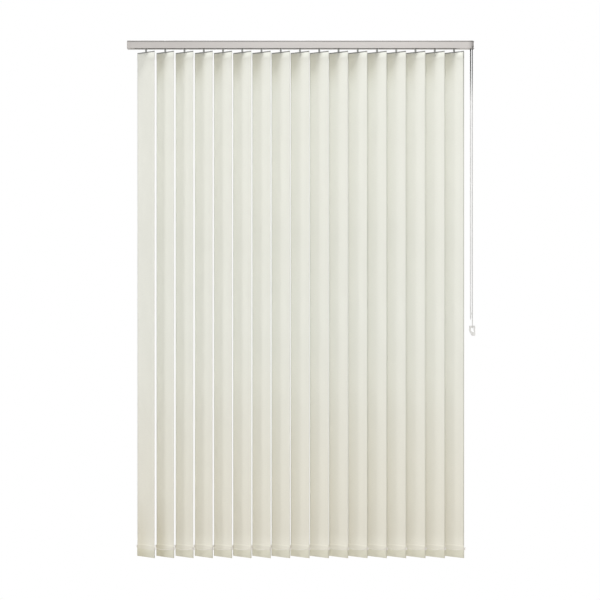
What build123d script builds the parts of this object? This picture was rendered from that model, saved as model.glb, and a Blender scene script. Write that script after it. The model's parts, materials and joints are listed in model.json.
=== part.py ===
from build123d import *
import math
import os

os.makedirs("parts", exist_ok=True)

# Vertical blind hung from the ceiling: X runs along the headrail, Y to the wall behind, Z up.
# The origin is on the ceiling face, between the outer brackets' screws, over the vanes' axes.
# Lengths are in millimetres and angles in degrees.

# Set of vanes
VANE_COUNT = 17
VANE_PITCH = 80.0
VANE_WIDTH = 89.0
VANE_LENGTH = 2095.0
VANE_TURN = 30.0  # from the headrail's line, right edge to the front
VANE_GAP = 17.6  # headrail's underside to a vane's top fold
STACK_PITCH = 17.0  # carriers pushed together
CLOTH = 0.5

# Pockets in a vane
TOP_POCKET = 30.0
BOTTOM_POCKET = 52.0
POCKET_RAMP = 3.0
POCKET_EASE = 0.1

# Headrail
RAIL_HEIGHT = 31.0
RAIL_FRONT = 13.0  # vanes' axes to the front face
RAIL_REAR = 19.0  # vanes' axes to the rear face
RAIL_WALL = 1.2
LEFT_MARGIN = 78.0  # first vane's axis to the left end
RIGHT_MARGIN = 83.5  # last vane's axis to the right end
SLOT_WIDTH = 14.0
CHANNEL_DEPTH = 5.1
LIP_REACH = 2.2
LIP_BAND = 1.8
GROOVE_HEIGHT = 3.3
GROOVE_DEPTH = 3.0
GROOVE_FLOOR = 1.2

# End caps
CAP_WALL = 2.4
RETURN_CAP_LENGTH = 16.0
CONTROL_CAP_LENGTH = 60.0
RETURN_CAP_RADIUS = 6.0
CONTROL_CAP_RADIUS = 14.0
CAP_REAR_RADIUS = 5.0
PLUG_LENGTH = 12.0
PLUG_WALL = 1.4
PLUG_EASE = 0.15

# Brackets
BRACKET_PLATE = 1.2
BRACKET_WIDTH = 24.0
BRACKET_SPAN = 1120.0  # between the outer brackets' screws
BRACKET_SETBACK = 4.0
BRACKET_EASE = 0.2
BRACKET_TOE = 1.6
BRACKET_TO_CAP = 4.0
SCREW_RADIUS = 2.25

# Gaps
CURVED_GAP = 0.3
FLAT_GAP = 0.1
OVERRUN = 2.0

# Tilt rod, worms and gears
ROD_RADIUS = 2.5
ROD_DEPTH = 18.8  # headrail's top to the rod's axis
FLUTE_RADIUS = 0.8
WORM_RADIUS = 4.0
WORM_LENGTH = 9.4
GEAR_RADIUS = 3.5
GEAR_HEIGHT = 8.0
SHAFT_RADIUS = 2.5

# Carriers
CARRIER_LENGTH = 15.0
CARRIER_LIFT = 1.5
CARRIER_HEADROOM = 1.5
WHEEL_RADIUS = 3.6
WHEEL_WIDTH = 1.8
WHEEL_SIDE_GAP = 0.5
STUB_LENGTH = 0.4
STUB_RADIUS = 1.2
LANE_COUNT = 6
LANE_PITCH = 0.7
LANE_WALL = 0.6
LANE_EASE = 0.3
SPACER_WIDTH = 3.4
SPACER_THICKNESS = 0.4
SPACER_REACH = 5.0  # past the next carrier's axis
SPACER_FOOT = 4.0
CLAMP_LENGTH = 6.0
CLAMP_WALL = 0.8

# Hooks and hangers
BLADE_WIDTH = 7.2
BLADE_THICKNESS = 3.4
BLADE_GAP = 0.4
HANGER_THICKNESS = 1.2
HANGER_HEIGHT = 18.0
HANGER_INSET = 4.0
TAB_WIDTH = 5.0
SHOULDER_HEIGHT = 4.0
SHOULDER_INSET = 0.5
TAB_RISE = 5.6
EYE_RADIUS = 1.3
EYE_RISE = 3.2
TAB_EASE = 0.6

# Bottom weights with their ears
WEIGHT_THICKNESS = 2.4
WEIGHT_HEIGHT = 30.0
WEIGHT_INSET = 4.0
EAR_HEIGHT = 44.0  # vane's bottom fold to the link chain
EAR_PLATE = 1.6
EAR_ARM = 4.0
EAR_TIP = 6.5
EAR_REACH = 4.5  # vane's edge to the link chain
EAR_OFFSET = 1.6  # link chain in front of the vane's middle plane

# Link chains
LINK_RADIUS = 1.3
LINK_SLOPE = 22.0  # where a swag meets an ear
LINK_TURN = 4.0  # chain's radius over an ear

# Tilt chain
CHAIN_FROM_END = 13.4
CHAIN_DROP = 1125.6  # headrail's underside to the loop's lowest point
BEAD_RADIUS = 2.25
BEAD_PITCH = 6.0
SPROCKET_BEADS = 6
SPROCKET_GAP = 0.25
SPROCKET_FLANGE = 0.5
SPROCKET_RIM = 1.6
CONNECTOR_RADIUS = 3.0
CONNECTOR_LENGTH = 10.0
CONNECTOR_RISE = 25.0

# Draw cord and its pulley
CORD_RADIUS = 1.2
CORD_OFFSET = 4.6  # each run's distance from the vanes' axes
CORD_DROP = 2.0  # under the headrail's web
CORD_FROM_END = 6.95
GUIDE_TURN = 3.0  # cord's radius over the guide rib
PULLEY_WIDTH = 3.4
PULLEY_FLANGE = 1.0
PULLEY_BORE_GAP = 0.1
POST_RADIUS = 2.0
RETURN_FROM_END = 14.0
TONGUE_THICKNESS = 1.4
TONGUE_WIDTH = 12.0
TONGUE_GAP = 0.2

# Cord weight
CORD_WEIGHT_DROP = 1151.0  # headrail's underside to the weight's top
CORD_WEIGHT_HEIGHT = 42.4
CORD_WEIGHT_LEFT = 13.2  # from the cord's line
CORD_WEIGHT_RIGHT = 11.2  # from the cord's line
CORD_WEIGHT_SHOULDER = 23.0
CORD_WEIGHT_FOOT = 12.5
CORD_WEIGHT_WINDOW = 28.5
CORD_WEIGHT_RIM = 5.6
CORD_WEIGHT_WIDE_RIM = 7.0
CORD_WEIGHT_CORNER = 3.0
CORD_WEIGHT_THICKNESS = 11.0
CORD_BAR_RADIUS = 3.0
CORD_BAR_DEPTH = 5.0

# Places along the headrail
RAIL_LENGTH = LEFT_MARGIN + (VANE_COUNT - 1) * VANE_PITCH + RIGHT_MARGIN
BRACKET_REACH = BRACKET_SPAN / 2 + BRACKET_WIDTH / 2 + BRACKET_TO_CAP
LEFT_END = -max(RAIL_LENGTH / 2, BRACKET_REACH + RETURN_CAP_LENGTH)
RIGHT_END = max(RAIL_LENGTH / 2, BRACKET_REACH + CONTROL_CAP_LENGTH)
RETURN_CAP_END = LEFT_END + RETURN_CAP_LENGTH
CONTROL_CAP_END = RIGHT_END - CONTROL_CAP_LENGTH
AXES = [LEFT_MARGIN - RAIL_LENGTH / 2 + i * VANE_PITCH for i in range(VANE_COUNT)]
CHAIN_X = RIGHT_END - CHAIN_FROM_END
CORD_X = RIGHT_END - CORD_FROM_END
GUIDE_X = CORD_X - GUIDE_TURN
RETURN_PULLEY_X = LEFT_END + RETURN_FROM_END

# Levels
RAIL_TOP = -BRACKET_PLATE
RAIL_BOTTOM = RAIL_TOP - RAIL_HEIGHT
FLANGE_TOP = RAIL_BOTTOM + RAIL_WALL
GROOVE_TOP = RAIL_TOP - LIP_BAND
GROOVE_BOTTOM = GROOVE_TOP - GROOVE_HEIGHT
WEB_TOP = RAIL_TOP - CHANNEL_DEPTH
WEB_BOTTOM = WEB_TOP - RAIL_WALL
ROD_Z = RAIL_TOP - ROD_DEPTH
CORD_Z = WEB_BOTTOM - CORD_DROP
GUIDE_Z = CORD_Z - GUIDE_TURN
CARRIER_BOTTOM = FLANGE_TOP + CARRIER_LIFT
CARRIER_TOP = CORD_Z - CORD_RADIUS - CARRIER_HEADROOM
GEAR_BOTTOM = ROD_Z - GEAR_HEIGHT / 2
GEAR_TOP = ROD_Z + GEAR_HEIGHT / 2
BLADE_TOP = RAIL_BOTTOM - BLADE_GAP
VANE_TOP = RAIL_BOTTOM - VANE_GAP
VANE_BOTTOM = VANE_TOP - VANE_LENGTH
SHOULDER_TOP = VANE_TOP + FLAT_GAP + SHOULDER_HEIGHT
EAR_Z = VANE_BOTTOM + EAR_HEIGHT
CORD_WEIGHT_TOP = RAIL_BOTTOM - CORD_WEIGHT_DROP

# Places across the headrail
INNER_FRONT = -RAIL_FRONT + RAIL_WALL
INNER_REAR = RAIL_REAR - RAIL_WALL
CHANNEL_FRONT = -RAIL_FRONT + GROOVE_DEPTH + RAIL_WALL
WHEEL_ROOM = WHEEL_SIDE_GAP + WHEEL_WIDTH + STUB_LENGTH
CARRIER_FRONT = INNER_FRONT + WHEEL_ROOM
CARRIER_REAR = INNER_REAR - WHEEL_ROOM
ROD_Y = GEAR_RADIUS + CURVED_GAP + WORM_RADIUS
LANE_INNER = -(GEAR_RADIUS + CURVED_GAP + LANE_WALL)
LANE_OUTER = LANE_INNER - SPACER_WIDTH - 2 * LANE_EASE
SPROCKET_TURN = BEAD_PITCH / (2 * math.sin(math.pi / SPROCKET_BEADS))


# Helpers

def block(x, y, z):
    """A box between pairs of limits."""
    size = [high - low for low, high in (x, y, z)]
    middle = [(low + high) / 2 for low, high in (x, y, z)]
    return Pos(*middle) * Box(*size)


def bar_x(radius, x, y, z):
    """A round bar along X between a pair of limits."""
    low, high = x
    return Pos((low + high) / 2, y, z) * Rot(0, 90, 0) * Cylinder(radius, high - low)


def bar_y(radius, x, y, z):
    """A round bar along Y between a pair of limits."""
    low, high = y
    return Pos(x, (low + high) / 2, z) * Rot(90, 0, 0) * Cylinder(radius, high - low)


def bar_z(radius, x, y, z):
    """A round bar along Z between a pair of limits."""
    low, high = z
    return Pos(x, y, (low + high) / 2) * Cylinder(radius, high - low)


def tube(radius, path):
    """A round cord along one line or arc."""
    return sweep(Plane(origin=path @ 0, z_dir=path % 0) * Circle(radius), path)


def joined(pieces):
    """The union of a list of solids."""
    first, *rest = pieces
    return first.fuse(*rest)


def save(node, *solids):
    """One file for a node, with its solids."""
    loose = [solid for piece in solids for solid in piece.solids()]
    export_step(Compound(loose), f"parts/{node}.step")


# Headrail

def headrail():
    x = (RETURN_CAP_END, CONTROL_CAP_END)
    front = (-RAIL_FRONT, INNER_FRONT)
    rear = (INNER_REAR, RAIL_REAR)
    lip = (RAIL_TOP - RAIL_WALL, RAIL_TOP)
    height = (RAIL_BOTTOM, RAIL_TOP)
    floor = (RAIL_BOTTOM, FLANGE_TOP)
    channel = (WEB_BOTTOM, RAIL_TOP)
    rail = joined([
        block(x, front, height),
        block(x, rear, height),
        block(x, (-RAIL_FRONT, CHANNEL_FRONT), channel),
        block(x, (-RAIL_FRONT, RAIL_REAR), (WEB_BOTTOM, WEB_TOP)),
        block(x, (-RAIL_FRONT, CHANNEL_FRONT + LIP_REACH), lip),
        block(x, (INNER_REAR - LIP_REACH, RAIL_REAR), lip),
        block(x, (-RAIL_FRONT, -SLOT_WIDTH / 2), floor),
        block(x, (SLOT_WIDTH / 2, RAIL_REAR), floor),
    ])
    groove = (GROOVE_BOTTOM, GROOVE_TOP)
    return rail - block(x, (-RAIL_FRONT - OVERRUN, -RAIL_FRONT + GROOVE_DEPTH), groove)


# Brackets

def bracket(middle):
    x = (middle - BRACKET_WIDTH / 2, middle + BRACKET_WIDTH / 2)
    front_leg = CHANNEL_FRONT + LIP_REACH + BRACKET_EASE
    rear_leg = INNER_REAR - LIP_REACH - BRACKET_EASE
    toe_top = RAIL_TOP - RAIL_WALL - BRACKET_EASE
    toe = (toe_top - BRACKET_PLATE, toe_top)
    leg = (toe_top - BRACKET_PLATE, 0)
    clip = joined([
        block(x, (-RAIL_FRONT + BRACKET_SETBACK, RAIL_REAR - BRACKET_SETBACK), (RAIL_TOP, 0)),
        block(x, (front_leg, front_leg + BRACKET_PLATE), leg),
        block(x, (rear_leg - BRACKET_PLATE, rear_leg), leg),
        block(x, (front_leg - BRACKET_TOE, front_leg + BRACKET_PLATE), toe),
        block(x, (rear_leg - BRACKET_PLATE, rear_leg + BRACKET_TOE), toe),
    ])
    return clip - bar_z(SCREW_RADIUS, middle, 0, (RAIL_TOP - OVERRUN, OVERRUN))


# End caps

def cap_outline(inner, outer, radius, inset, rear_inset):
    """Plan of an end cap, rounded at its outer end and set in from the walls."""
    front = -RAIL_FRONT + inset
    rear = RAIL_REAR - rear_inset
    side = math.copysign(inset, outer - inner)
    end = outer - side
    plan = make_face(Polyline((inner, front), (end, front), (end, rear), (inner, rear), close=True))
    at_end = plan.vertices().filter_by(lambda v: abs(v.X - end) < FLAT_GAP).sort_by(Axis.Y)
    plan = fillet(at_end[0], radius - inset)
    at_end = plan.vertices().sort_by(Axis.Y)
    at_end = [v for v in at_end if abs(v.X - end) < FLAT_GAP and abs(v.Y - rear) < FLAT_GAP]
    return fillet(at_end, CAP_REAR_RADIUS - rear_inset)


def prism(plan, low, high):
    """A plan raised between two levels."""
    return extrude(Pos(0, 0, low) * plan, high - low, dir=(0, 0, 1))


def cap_shell(inner, outer, radius):
    """Hollow cap, open to the headrail and thicker behind the groove."""
    shell = prism(cap_outline(inner, outer, radius, 0, 0), RAIL_BOTTOM, RAIL_TOP)
    hollow = cap_outline(inner, outer, radius, CAP_WALL, CAP_WALL)
    return shell - prism(hollow, RAIL_BOTTOM + CAP_WALL, GROOVE_BOTTOM - GROOVE_FLOOR)


def grooved(cap, inner, outer, radius):
    """A cap with the headrail's groove run round it."""
    band = prism(cap_outline(inner, outer, radius, 0, 0), GROOVE_BOTTOM, GROOVE_TOP)
    core = prism(cap_outline(inner, outer, radius, GROOVE_DEPTH, 0), GROOVE_BOTTOM, GROOVE_TOP)
    return cap - (band - core)


def plug(x):
    """Trough that reaches from a cap into the headrail."""
    front = INNER_FRONT + PLUG_EASE
    rear = INNER_REAR - PLUG_EASE
    floor = FLANGE_TOP + PLUG_EASE
    top = WEB_BOTTOM - PLUG_EASE
    return joined([
        block(x, (front, rear), (floor, floor + PLUG_WALL)),
        block(x, (front, front + PLUG_WALL), (floor, top)),
        block(x, (rear - PLUG_WALL, rear), (floor, top)),
    ])


def return_end_cap():
    shell = cap_shell(RETURN_CAP_END, LEFT_END, RETURN_CAP_RADIUS)
    inside = LEFT_END + CAP_WALL
    root = RETURN_CAP_END - PLUG_LENGTH
    tongue_top = CORD_Z - PULLEY_WIDTH / 2 - TONGUE_GAP
    tongue_end = RETURN_PULLEY_X + CORD_OFFSET + PULLEY_FLANGE
    cap = joined([
        shell,
        plug((max(root, inside), RETURN_CAP_END + PLUG_LENGTH)),
        block((LEFT_END + CAP_WALL / 2, tongue_end), (-TONGUE_WIDTH / 2, TONGUE_WIDTH / 2),
              (tongue_top - TONGUE_THICKNESS, tongue_top)),
        bar_z(POST_RADIUS, RETURN_PULLEY_X, 0, (tongue_top - TONGUE_THICKNESS, CORD_Z + PULLEY_WIDTH / 2)),
        bar_x(ROD_RADIUS + CAP_WALL, (LEFT_END + CAP_WALL / 2, RETURN_CAP_END), ROD_Y, ROD_Z),
    ])
    socket = (LEFT_END + 2 * CAP_WALL, RETURN_CAP_END + OVERRUN)
    cap -= bar_x(ROD_RADIUS + CURVED_GAP, socket, ROD_Y, ROD_Z)
    return grooved(cap, RETURN_CAP_END, LEFT_END, RETURN_CAP_RADIUS)


def guide_rib():
    """Rib across the control cap, with a rounded edge that the draw cord runs down over."""
    radius = GUIDE_TURN - CORD_RADIUS - FLAT_GAP
    floor = RAIL_BOTTOM + CAP_WALL / 2
    across = (-RAIL_FRONT, RAIL_REAR)
    wall = block((GUIDE_X, GUIDE_X + radius), across, (floor, GUIDE_Z))
    edge = bar_y(radius, GUIDE_X, across, GUIDE_Z)
    edge &= block((GUIDE_X, GUIDE_X + GUIDE_TURN), across, (GUIDE_Z, CORD_Z))
    inside = cap_outline(CONTROL_CAP_END, RIGHT_END, CONTROL_CAP_RADIUS, CAP_WALL / 2, CAP_WALL / 2)
    return (wall + edge) & prism(inside, RAIL_BOTTOM, RAIL_TOP)


def control_end_cap():
    shell = cap_shell(CONTROL_CAP_END, RIGHT_END, CONTROL_CAP_RADIUS)
    wall = (CONTROL_CAP_END, CONTROL_CAP_END + CAP_WALL)
    cap = joined([
        shell,
        plug((CONTROL_CAP_END - PLUG_LENGTH, CONTROL_CAP_END + PLUG_LENGTH)),
        block(wall, (-RAIL_FRONT + CAP_WALL / 2, RAIL_REAR - CAP_WALL / 2),
              (RAIL_BOTTOM + CAP_WALL / 2, RAIL_TOP - CAP_WALL / 2)),
        guide_rib(),
    ])
    through = (CONTROL_CAP_END - OVERRUN, CONTROL_CAP_END + CAP_WALL + OVERRUN)
    below = (RAIL_BOTTOM - OVERRUN, RAIL_BOTTOM + CAP_WALL + OVERRUN)
    cap -= bar_x(ROD_RADIUS + CURVED_GAP, through, ROD_Y, ROD_Z)
    for side in (-1, 1):
        cap -= bar_x(CORD_RADIUS + CURVED_GAP, through, side * CORD_OFFSET, CORD_Z)
        cap -= bar_z(CORD_RADIUS + 2 * CURVED_GAP, CORD_X, side * CORD_OFFSET, below)
    reach = BEAD_RADIUS + CURVED_GAP
    ends = [ROD_Y - SPROCKET_TURN, ROD_Y + SPROCKET_TURN]
    slot = block((CHAIN_X - reach, CHAIN_X + reach), ends, below)
    cap -= joined([slot] + [bar_z(reach, CHAIN_X, y, below) for y in ends])
    return grooved(cap, CONTROL_CAP_END, RIGHT_END, CONTROL_CAP_RADIUS)


# Tilt rod with its sprocket

def tilt_rod():
    x = (LEFT_END + 2 * CAP_WALL + FLAT_GAP, CHAIN_X + BEAD_RADIUS + SPROCKET_GAP + SPROCKET_FLANGE)
    rod = bar_x(ROD_RADIUS, x, ROD_Y, ROD_Z)
    for turn in (90, 210, 330):
        across = ROD_RADIUS * math.cos(math.radians(turn))
        up = ROD_RADIUS * math.sin(math.radians(turn))
        rod -= bar_x(FLUTE_RADIUS, (x[0] - OVERRUN, x[1] + OVERRUN), ROD_Y + across, ROD_Z + up)
    return rod


def chain_sprocket():
    half = BEAD_RADIUS + SPROCKET_GAP
    hub = SPROCKET_TURN - half
    rim = SPROCKET_TURN + SPROCKET_RIM
    wheel = bar_x(hub, (CHAIN_X - half, CHAIN_X + half), ROD_Y, ROD_Z)
    for side in (-1, 1):
        face = CHAIN_X + side * half
        flange = sorted((face, face + side * SPROCKET_FLANGE))
        wheel += bar_x(rim, flange, ROD_Y, ROD_Z)
    reach = half + SPROCKET_FLANGE + OVERRUN
    return wheel - bar_x(ROD_RADIUS, (CHAIN_X - reach, CHAIN_X + reach), ROD_Y, ROD_Z)


# Tilt chain

def tilt_chain():
    ends = (ROD_Y - SPROCKET_TURN, ROD_Y + SPROCKET_TURN)
    low = RAIL_BOTTOM - CHAIN_DROP + BEAD_RADIUS + SPROCKET_TURN
    runs = [bar_z(BEAD_RADIUS, CHAIN_X, y, (low, ROD_Z)) for y in ends]
    turns = []
    for level, side in ((ROD_Z, 1), (low, -1)):
        middle = (CHAIN_X, ROD_Y, level + side * SPROCKET_TURN)
        arc = ThreePointArc((CHAIN_X, ends[0], level), middle, (CHAIN_X, ends[1], level))
        turns.append(tube(BEAD_RADIUS, arc))
    return joined(runs + turns)


def chain_connector():
    low = RAIL_BOTTOM - CHAIN_DROP + CONNECTOR_RISE - CONNECTOR_LENGTH / 2
    z = (low, low + CONNECTOR_LENGTH)
    y = ROD_Y - SPROCKET_TURN
    sleeve = bar_z(CONNECTOR_RADIUS, CHAIN_X, y, z)
    return sleeve - bar_z(BEAD_RADIUS + FLAT_GAP, CHAIN_X, y, (low - OVERRUN, z[1] + OVERRUN))


# Draw cord

def draw_cord():
    """The hanging loop: two strands that meet under the cord weight's bar."""
    turn = CORD_BAR_RADIUS + CORD_RADIUS + CURVED_GAP
    level = CORD_WEIGHT_TOP - CORD_BAR_DEPTH
    rise = GUIDE_Z - level
    lean = math.acos(turn / math.hypot(CORD_OFFSET, rise)) - math.atan2(rise, CORD_OFFSET)
    touch_y = turn * math.cos(lean)
    touch_z = level - turn * math.sin(lean)
    runs = []
    for side in (-1, 1):
        top = (CORD_X, side * CORD_OFFSET, GUIDE_Z)
        runs.append(tube(CORD_RADIUS, Line(top, (CORD_X, side * touch_y, touch_z))))
    low = (CORD_X, 0, level - turn)
    arc = ThreePointArc((CORD_X, -touch_y, touch_z), low, (CORD_X, touch_y, touch_z))
    return joined(runs + [tube(CORD_RADIUS, arc)])


def draw_cord_run():
    """The run in the headrail: over the guide rib and round the return pulley."""
    pieces = []
    for side in (-1, 1):
        y = side * CORD_OFFSET
        slant = GUIDE_TURN * math.sqrt(2) / 2
        start = (CORD_X, y, GUIDE_Z)
        middle = (GUIDE_X + slant, y, GUIDE_Z + slant)
        pieces.append(tube(CORD_RADIUS, ThreePointArc(start, middle, (GUIDE_X, y, CORD_Z))))
        pieces.append(bar_x(CORD_RADIUS, (RETURN_PULLEY_X, GUIDE_X), y, CORD_Z))
    far = (RETURN_PULLEY_X - CORD_OFFSET, 0, CORD_Z)
    front = (RETURN_PULLEY_X, -CORD_OFFSET, CORD_Z)
    rear = (RETURN_PULLEY_X, CORD_OFFSET, CORD_Z)
    pieces.append(tube(CORD_RADIUS, ThreePointArc(front, far, rear)))
    return joined(pieces)


def pulley(turn, bore):
    """A grooved wheel about Z, for a cord that runs at one radius."""
    half = PULLEY_WIDTH / 2
    groove_half = CORD_RADIUS + FLAT_GAP
    rim = turn + PULLEY_FLANGE
    core = turn - CORD_RADIUS - FLAT_GAP
    wheel = bar_z(rim, 0, 0, (-half, half))
    wheel -= bar_z(rim + OVERRUN, 0, 0, (-groove_half, groove_half))
    wheel += bar_z(core, 0, 0, (-groove_half, groove_half))
    return wheel - bar_z(bore, 0, 0, (-half - OVERRUN, half + OVERRUN))


def return_pulley():
    return Pos(RETURN_PULLEY_X, 0, CORD_Z) * pulley(CORD_OFFSET, POST_RADIUS + PULLEY_BORE_GAP)


# Cord weight

def weight_outline(points):
    """A rounded outline in the plane of the headrail, from the cord's line and the weight's top."""
    places = [(CORD_X + x, CORD_WEIGHT_TOP + z) for x, z in points]
    return make_face(Plane.XZ * FilletPolyline(*places, radius=CORD_WEIGHT_CORNER, close=True))


def cord_weight():
    left = -CORD_WEIGHT_LEFT
    right = CORD_WEIGHT_RIGHT
    outside = weight_outline([
        (left, 0),
        (right, 0),
        (right, -CORD_WEIGHT_HEIGHT),
        (right - CORD_WEIGHT_FOOT, -CORD_WEIGHT_HEIGHT),
        (left, -CORD_WEIGHT_SHOULDER),
    ])
    window = weight_outline([
        (left + CORD_WEIGHT_WIDE_RIM, -CORD_BAR_DEPTH),
        (right - CORD_WEIGHT_RIM, -CORD_BAR_DEPTH),
        (right - CORD_WEIGHT_RIM, -CORD_WEIGHT_WINDOW),
        (left + CORD_WEIGHT_WIDE_RIM, -CORD_WEIGHT_SHOULDER),
    ])
    thick = CORD_WEIGHT_THICKNESS / 2
    frame = extrude(outside, CORD_BAR_RADIUS, both=True) - extrude(window, thick, both=True)
    lump_top = CORD_WEIGHT_TOP - CORD_WEIGHT_WINDOW - CORD_WEIGHT_CORNER
    room = block((CORD_X + left - OVERRUN, CORD_X + right + OVERRUN), (-thick, thick),
                 (CORD_WEIGHT_TOP - CORD_WEIGHT_HEIGHT - OVERRUN, lump_top))
    lump = extrude(outside, thick, both=True) & room
    rim = CORD_WEIGHT_RIM / 2
    bar = bar_x(CORD_BAR_RADIUS, (CORD_X + left + rim, CORD_X + right - rim), 0,
                CORD_WEIGHT_TOP - CORD_BAR_DEPTH)
    return joined([frame, lump, bar])


# Carriers

def carrier_housing():
    """Housing about X = 0, with its two wheels."""
    x = (-CARRIER_LENGTH / 2, CARRIER_LENGTH / 2)
    through = (x[0] - OVERRUN, x[1] + OVERRUN)
    housing = block(x, (CARRIER_FRONT, CARRIER_REAR), (CARRIER_BOTTOM, CARRIER_TOP))
    worm_half = WORM_LENGTH / 2 + CURVED_GAP
    housing -= bar_x(WORM_RADIUS + CURVED_GAP, (-worm_half, worm_half), ROD_Y, ROD_Z)
    housing -= bar_x(ROD_RADIUS + CURVED_GAP, through, ROD_Y, ROD_Z)
    housing -= bar_z(GEAR_RADIUS + CURVED_GAP, 0, 0, (GEAR_BOTTOM - FLAT_GAP, GEAR_TOP + FLAT_GAP))
    housing -= bar_z(SHAFT_RADIUS + CURVED_GAP, 0, 0, (CARRIER_BOTTOM - OVERRUN, GEAR_BOTTOM))
    lanes_top = CARRIER_TOP - LANE_WALL
    lanes = (lanes_top - LANE_COUNT * LANE_PITCH, lanes_top)
    housing -= block(through, (LANE_OUTER, LANE_INNER), lanes)
    axle_z = FLANGE_TOP + FLAT_GAP + WHEEL_RADIUS
    for side, face in ((-1, CARRIER_FRONT), (1, CARRIER_REAR)):
        tread = face + side * STUB_LENGTH
        rim = tread + side * WHEEL_WIDTH
        housing += bar_y(STUB_RADIUS, 0, sorted((face - side * STUB_LENGTH, rim)), axle_z)
        housing += bar_y(WHEEL_RADIUS, 0, sorted((tread, rim)), axle_z)
    return housing


def cord_clamp():
    """Eye on the leading carrier, through which the draw cord's front run passes."""
    bore = CORD_RADIUS + CURVED_GAP
    reach = bore + CLAMP_WALL
    x = (-CLAMP_LENGTH / 2, CLAMP_LENGTH / 2)
    y = (-CORD_OFFSET - reach, -CORD_OFFSET + reach)
    eye = block(x, y, (CARRIER_TOP - LANE_WALL / 2, CORD_Z + bore + LANE_WALL / 2))
    return eye - bar_x(bore, (x[0] - OVERRUN, x[1] + OVERRUN), -CORD_OFFSET, CORD_Z)


def worm():
    x = (-WORM_LENGTH / 2, WORM_LENGTH / 2)
    sleeve = bar_x(WORM_RADIUS, x, ROD_Y, ROD_Z)
    return sleeve - bar_x(ROD_RADIUS + CURVED_GAP, (x[0] - OVERRUN, x[1] + OVERRUN), ROD_Y, ROD_Z)


def spacer(lane):
    """Strip that ties a carrier to its left neighbour, in one of the lanes."""
    middle = CARRIER_TOP - LANE_WALL - LANE_PITCH / 2 - lane * LANE_PITCH
    z = (middle - SPACER_THICKNESS / 2, middle + SPACER_THICKNESS / 2)
    half = SPACER_FOOT / 2
    inner = LANE_INNER - LANE_EASE
    strip = block((-VANE_PITCH - SPACER_REACH, half), (inner - SPACER_WIDTH, inner), z)
    return strip + block((-half, half), (LANE_OUTER, inner), z)


def save_carriers():
    housing = carrier_housing()
    leading = housing + cord_clamp()
    sleeve = worm()
    for i, x in enumerate(AXES):
        place = Pos(x, 0, 0)
        solids = [place * (housing if i else leading), place * sleeve]
        if i:
            solids.append(place * spacer(i % LANE_COUNT))
        save(f"carrier_{i + 1:02d}", *solids)


# Vanes, each about its own axis and along X until it is turned

def vane_profile():
    """Section across a vane: one layer of cloth with a pocket at each end."""
    layer = CLOTH / 2
    top = HANGER_THICKNESS / 2 + POCKET_EASE + CLOTH
    bottom = WEIGHT_THICKNESS / 2 + POCKET_EASE + CLOTH
    top_seam = VANE_TOP - TOP_POCKET
    bottom_seam = VANE_BOTTOM + BOTTOM_POCKET
    side = [
        (bottom, VANE_BOTTOM),
        (bottom, bottom_seam - POCKET_RAMP),
        (layer, bottom_seam),
        (layer, top_seam),
        (top, top_seam + POCKET_RAMP),
        (top, VANE_TOP),
    ]
    return side + [(-y, z) for y, z in reversed(side)]


def pocket(half, closed, open_end, seam):
    """Section of the hollow in a pocket, with its point at the seam."""
    return [(-half, closed), (half, closed), (half, open_end), (0, seam), (-half, open_end)]


def cloth_solid(points):
    face = make_face(Plane.YZ * Polyline(*points, close=True))
    return extrude(face, VANE_WIDTH / 2, both=True)


def cloth():
    top = HANGER_THICKNESS / 2 + POCKET_EASE
    bottom = WEIGHT_THICKNESS / 2 + POCKET_EASE
    top_seam = VANE_TOP - TOP_POCKET
    bottom_seam = VANE_BOTTOM + BOTTOM_POCKET
    strip = cloth_solid(vane_profile())
    strip -= cloth_solid(pocket(top, VANE_TOP - CLOTH, top_seam + POCKET_RAMP, top_seam + CLOTH))
    strip -= cloth_solid(pocket(bottom, VANE_BOTTOM + CLOTH, bottom_seam - POCKET_RAMP,
                                bottom_seam - CLOTH))
    slit = TAB_WIDTH / 2 + CURVED_GAP
    return strip - block((-slit, slit), (-top, top), (VANE_TOP - CLOTH - FLAT_GAP, VANE_TOP + OVERRUN))


def hanger():
    half = VANE_WIDTH / 2 - HANGER_INSET
    thick = (-HANGER_THICKNESS / 2, HANGER_THICKNESS / 2)
    top = VANE_TOP - CLOTH - POCKET_EASE
    plate = block((-half, half), thick, (top - HANGER_HEIGHT, top))
    plate += block((-TAB_WIDTH / 2, TAB_WIDTH / 2), thick, (top - FLAT_GAP, SHOULDER_TOP + TAB_RISE))
    wide = VANE_WIDTH / 2 - SHOULDER_INSET
    deep = HANGER_THICKNESS / 2 + POCKET_EASE + CLOTH
    plate += block((-wide, wide), (-deep, deep), (VANE_TOP + FLAT_GAP, SHOULDER_TOP))
    return plate - bar_y(EYE_RADIUS, 0, (-OVERRUN, OVERRUN), SHOULDER_TOP + EYE_RISE)


def hook():
    wheel = bar_z(GEAR_RADIUS, 0, 0, (GEAR_BOTTOM, GEAR_TOP))
    wide = (-BLADE_WIDTH / 2, BLADE_WIDTH / 2)
    thick = (-BLADE_THICKNESS / 2, BLADE_THICKNESS / 2)
    foot = SHOULDER_TOP + TAB_EASE
    gap = HANGER_THICKNESS / 2 + FLAT_GAP
    stem = wheel + bar_z(SHAFT_RADIUS, 0, 0, (BLADE_TOP - BLADE_GAP, GEAR_BOTTOM + FLAT_GAP))
    stem += block(wide, thick, (foot, BLADE_TOP))
    stem -= block((wide[0] - OVERRUN, wide[1] + OVERRUN), (-gap, gap),
                  (foot - OVERRUN, SHOULDER_TOP + TAB_RISE + FLAT_GAP))
    return stem + bar_y(EYE_RADIUS - FLAT_GAP, 0, thick, SHOULDER_TOP + EYE_RISE)


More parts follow.
